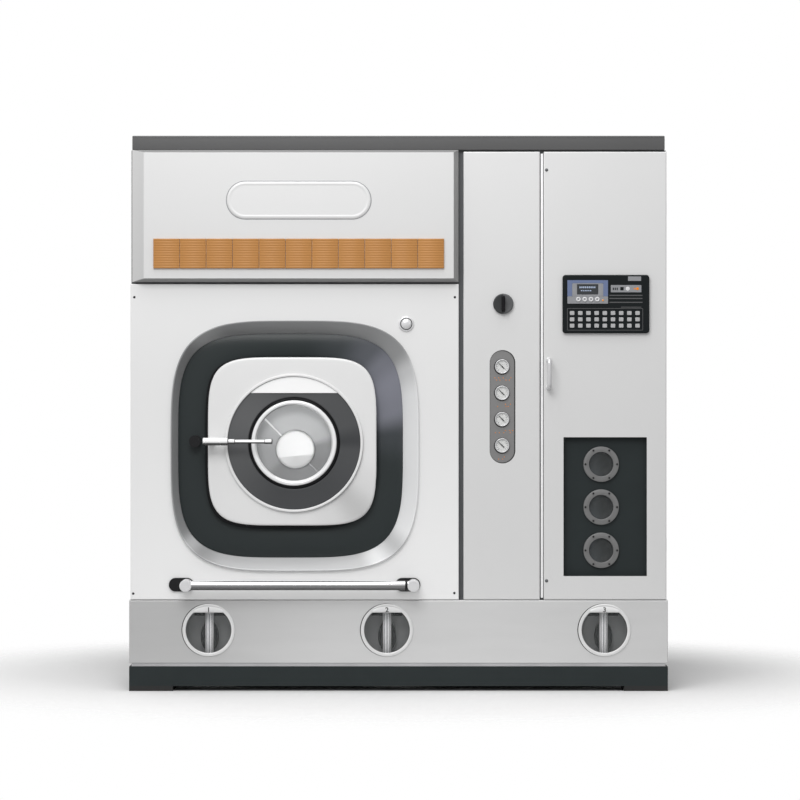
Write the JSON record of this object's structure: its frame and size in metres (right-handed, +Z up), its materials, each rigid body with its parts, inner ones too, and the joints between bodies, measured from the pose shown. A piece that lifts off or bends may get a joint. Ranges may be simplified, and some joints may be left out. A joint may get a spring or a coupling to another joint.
{
  "type": "dry cleaning machine",
  "caption": "Free-standing closed-circuit dry cleaning machine with a round glazed loading door, header lights, gauges, a keypad door and solvent tanks with level windows.",
  "frame": {"origin": "middle of the footprint on the floor, over the whole depth with the grab rail and the rear stubs", "axes": "+X to the right seen from the front, +Y to the rear, +Z up"},
  "size_m": [1.94, 1.282, 2],
  "materials": {
    "base_paint": "satin dark paint",
    "foot_rubber": "matt",
    "frame_paint": "satin grey paint",
    "roof_paint": "satin grey paint",
    "panel_silver": "satin silver paint",
    "amber_lens": "ribbed amber",
    "screw_steel": "plain",
    "bezel_grey": "graded satin grey",
    "surround_smoke": "gloss dark grey",
    "black_plastic": "moulded black",
    "rail_chrome": "polished",
    "plate_grey": "satin mid grey",
    "window_ring": "satin",
    "sight_glass": "clear",
    "tube_plastic": "translucent white",
    "tub_steel": "brushed",
    "seal_rubber": "matt",
    "housing_iron": "painted casting",
    "pulley_iron": "machined",
    "belt_rubber": "matt",
    "compressor_black": "black paint",
    "stub_steel": "plain",
    "window_plate_dark": "satin black",
    "pointer_black": "plain",
    "button_cap": "domed, satin",
    "door_white": "light satin paint",
    "ring_dark": "dark grey satin",
    "door_glass": "clear",
    "keypad_dark": "dark satin",
    "key_white": "light grey",
    "button_white": "white",
    "drum_steel": "brushed stainless"
  },
  "bodies": {
    "cabinet": {"base_frame": "base_paint", "foot_pads": "foot_rubber", "cabinet_frame": "frame_paint", "roof_panel": "roof_paint", "side_panels": "panel_silver", "rear_panels": "panel_silver", "tank_front_panel": "panel_silver", "loading_front_panel": "panel_silver", "header_cover": "panel_silver", "middle_front_panel": "panel_silver", "indicator_lenses": "amber_lens", "panel_screws": "screw_steel", "door_hinge_brackets": "screw_steel", "control_door_hinges": "screw_steel", "door_bezel": "bezel_grey", "door_surround": "surround_smoke", "latch_keeper": "black_plastic", "rail_brackets": "black_plastic", "switch_bodies": "black_plastic", "grab_rail": "rail_chrome", "gauge_cases": "rail_chrome", "gauge_plate": "plate_grey", "sight_rings": "window_ring", "sight_glasses": "sight_glass", "level_tubes": "tube_plastic", "tub": "tub_steel", "recovery_duct": "tub_steel", "solvent_tanks": "tub_steel", "filter_vessel": "tub_steel", "door_seal": "seal_rubber", "bearing_housing": "housing_iron", "drive_motor": "housing_iron", "solvent_pump": "housing_iron", "drive_belt": "belt_rubber", "compressor": "compressor_black", "service_stubs": "stub_steel", "window_plate": "window_plate_dark"},
    "loading_door": {"door_plate": "door_white", "door_ring": "ring_dark", "porthole_ring": "rail_chrome", "door_glass": "door_glass", "door_hinge_leaves": "screw_steel"},
    "door_lever": {"door_lever": "rail_chrome"},
    "control_door": {"control_door": "panel_silver", "keypad_case": "keypad_dark", "keypad_keys": "key_white", "control_door_fittings": "screw_steel"},
    "switch_knob": {"switch_knob": "black_plastic"},
    "release_button": {"release_button": "button_cap"},
    "drum": {"drum": "drum_steel", "drum_pulley": "pulley_iron"},
    "motor_pulley": {"motor_pulley": "pulley_iron"},
    "display_button_1": {"display_button_1": "button_white"},
    "gauge_pointer_1": {"gauge_pointer_1": "pointer_black"},
    "display_button_2": {"display_button_2": "button_white"},
    "gauge_pointer_2": {"gauge_pointer_2": "pointer_black"},
    "display_button_3": {"display_button_3": "button_white"},
    "gauge_pointer_3": {"gauge_pointer_3": "pointer_black"},
    "display_button_4": {"display_button_4": "button_white"},
    "gauge_pointer_4": {"gauge_pointer_4": "pointer_black"}
  },
  "joints": [
    {"name": "loading_door_hinge", "type": "hinge", "parent": "cabinet", "child": "loading_door", "pos_m": [-0.0915, -0.557, 0.899], "axis": [0, 0, 1], "range_deg": [0, 115]},
    {"name": "door_lever_turn", "type": "hinge", "parent": "loading_door", "child": "door_lever", "pos_m": [-0.6725, -0.571, 0.899], "axis": [0, -1, 0], "range_deg": [0, 90]},
    {"name": "control_door_hinge", "type": "hinge", "parent": "cabinet", "child": "control_door", "pos_m": [0.957, -0.561, 1.1355], "axis": [0, 0, 1], "range_deg": [0, 110]},
    {"name": "switch_knob_turn", "type": "hinge", "parent": "cabinet", "child": "switch_knob", "pos_m": [0.377, -0.569, 1.394], "axis": [0, 1, 0], "range_deg": [0, 90]},
    {"name": "release_button_press", "type": "slide", "parent": "cabinet", "child": "release_button", "axis": [0, 1, 0], "range_m": [0, 0.004], "stiffness_N_per_m": 800},
    {"name": "drum_spin", "type": "hinge", "parent": "cabinet", "child": "drum", "pos_m": [-0.394, 0.081, 0.859], "axis": [0, 1, 0], "continuous": true},
    {"name": "motor_spin", "type": "hinge", "parent": "cabinet", "child": "motor_pulley", "pos_m": [-0.06, 0.131, 0.43], "axis": [0, 1, 0], "continuous": true},
    {"name": "display_button_1_press", "type": "slide", "parent": "control_door", "child": "display_button_1", "axis": [0, 1, 0], "range_m": [0, 0.0015], "stiffness_N_per_m": 400},
    {"name": "gauge_pointer_1_turn", "type": "hinge", "parent": "cabinet", "child": "gauge_pointer_1", "pos_m": [0.373, -0.569, 0.8842], "axis": [0, 1, 0], "range_deg": [-90, 180], "stiffness_Nm_per_rad": 0.0005},
    {"name": "display_button_2_press", "type": "slide", "parent": "control_door", "child": "display_button_2", "axis": [0, 1, 0], "range_m": [0, 0.0015], "stiffness_N_per_m": 400},
    {"name": "gauge_pointer_2_turn", "type": "hinge", "parent": "cabinet", "child": "gauge_pointer_2", "pos_m": [0.373, -0.569, 0.979], "axis": [0, 1, 0], "range_deg": [-90, 180], "stiffness_Nm_per_rad": 0.0005},
    {"name": "display_button_3_press", "type": "slide", "parent": "control_door", "child": "display_button_3", "axis": [0, 1, 0], "range_m": [0, 0.0015], "stiffness_N_per_m": 400},
    {"name": "gauge_pointer_3_turn", "type": "hinge", "parent": "cabinet", "child": "gauge_pointer_3", "pos_m": [0.373, -0.569, 1.0738], "axis": [0, 1, 0], "range_deg": [-90, 180], "stiffness_Nm_per_rad": 0.0005},
    {"name": "display_button_4_press", "type": "slide", "parent": "control_door", "child": "display_button_4", "axis": [0, 1, 0], "range_m": [0, 0.0015], "stiffness_N_per_m": 400},
    {"name": "gauge_pointer_4_turn", "type": "hinge", "parent": "cabinet", "child": "gauge_pointer_4", "pos_m": [0.373, -0.569, 1.1686], "axis": [0, 1, 0], "range_deg": [-90, 180], "stiffness_Nm_per_rad": 0.0005}
  ],
  "couplings": [
    {"joint": "motor_spin", "follows": "drum_spin", "ratio": 4.8416}
  ]
}
